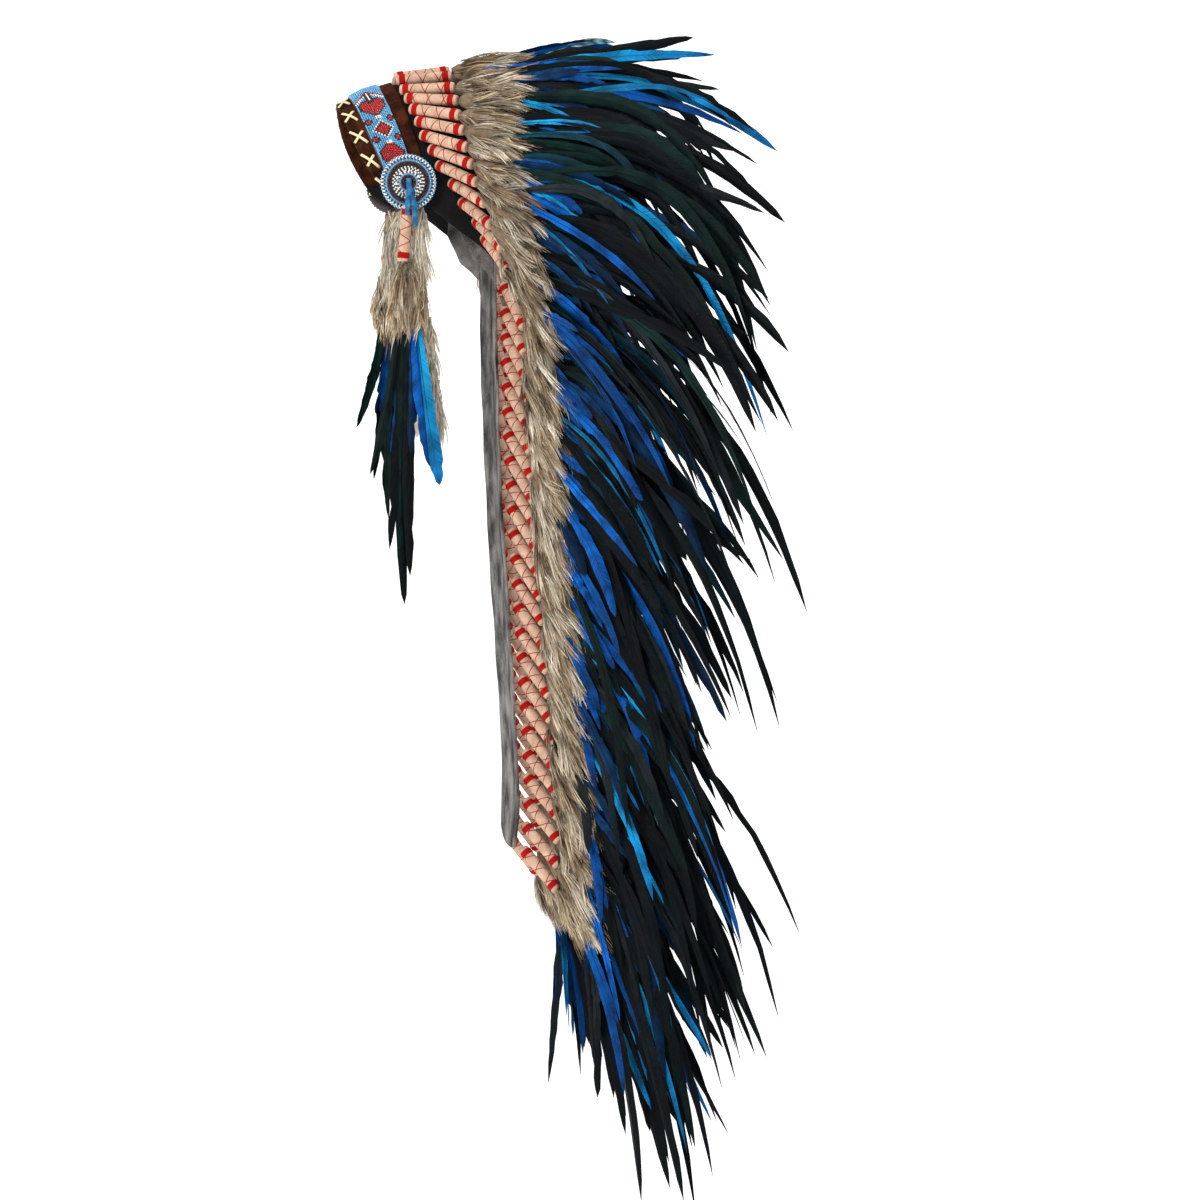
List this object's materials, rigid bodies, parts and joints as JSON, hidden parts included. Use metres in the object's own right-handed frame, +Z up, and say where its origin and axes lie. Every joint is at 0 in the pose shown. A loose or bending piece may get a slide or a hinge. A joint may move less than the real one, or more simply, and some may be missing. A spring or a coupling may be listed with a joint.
{
  "type": "feathered headdress",
  "caption": "Feathered headdress with a beaded brow band, rosettes and hanging drops, a fan of wrapped feather plumes round the crown and two rows of plumes down a long trailer.",
  "frame": {"origin": "the highest point inside the cap, where the crown of the head sits", "axes": "+Z up towards the crown, -Y where the wearer's face looks, +X towards the wearer's left"},
  "size_m": [0.6418, 0.4486, 1.1545],
  "materials": {
    "black_felt": "black wool felt",
    "brown_suede": "brown suede",
    "seed_beads": "opaque glass seed beads, light blue with red, black and white",
    "cream_lace": "cream leather lace",
    "blue_suede": "blue suede",
    "wrap_felt": "pale tan felt with red wool bands",
    "fur": "grey-brown fur with pale tips",
    "pale_fur": "cream fur",
    "feather": "blue and black feathers with a soft sheen",
    "grey_suede": "grey suede, flesh side, on black felt"
  },
  "bodies": {
    "root": {"skull_cap": "black_felt", "brow_band": "brown_suede", "beaded_strip": "seed_beads", "edge_lace": "cream_lace", "rosette_left": "seed_beads", "rosette_thong_left": "blue_suede", "side_wrap_left": "wrap_felt", "side_tuft_left": "fur", "side_feathers_left": "feather", "fur_drop_left": "pale_fur", "rosette_right": "seed_beads", "rosette_thong_right": "blue_suede", "side_wrap_right": "wrap_felt", "side_tuft_right": "fur", "side_feathers_right": "feather", "fur_drop_right": "pale_fur", "trailer_strip": "grey_suede", "crown_wrap_right_8": "wrap_felt", "crown_wrap_right_7": "wrap_felt", "crown_wrap_right_6": "wrap_felt", "crown_wrap_right_5": "wrap_felt", "crown_wrap_right_4": "wrap_felt", "crown_wrap_right_3": "wrap_felt", "crown_wrap_right_2": "wrap_felt", "crown_wrap_right_1": "wrap_felt", "crown_wrap_middle": "wrap_felt", "crown_wrap_left_1": "wrap_felt", "crown_wrap_left_2": "wrap_felt", "crown_wrap_left_3": "wrap_felt", "crown_wrap_left_4": "wrap_felt", "crown_wrap_left_5": "wrap_felt", "crown_wrap_left_6": "wrap_felt", "crown_wrap_left_7": "wrap_felt", "crown_wrap_left_8": "wrap_felt", "crown_tufts_middle": "fur", "crown_plumes_middle": "feather", "nape_wraps_left": "wrap_felt", "trailer_wraps_left_1": "wrap_felt", "trailer_wraps_left_2": "wrap_felt", "trailer_wraps_left_3": "wrap_felt", "crown_tufts_left": "fur", "trailer_tufts_left": "fur", "crown_plumes_left": "feather", "trailer_plumes_left": "feather", "nape_wraps_right": "wrap_felt", "trailer_wraps_right_1": "wrap_felt", "trailer_wraps_right_2": "wrap_felt", "trailer_wraps_right_3": "wrap_felt", "crown_tufts_right": "fur", "trailer_tufts_right": "fur", "crown_plumes_right": "feather", "trailer_plumes_right": "feather"}
  },
  "joints": []
}
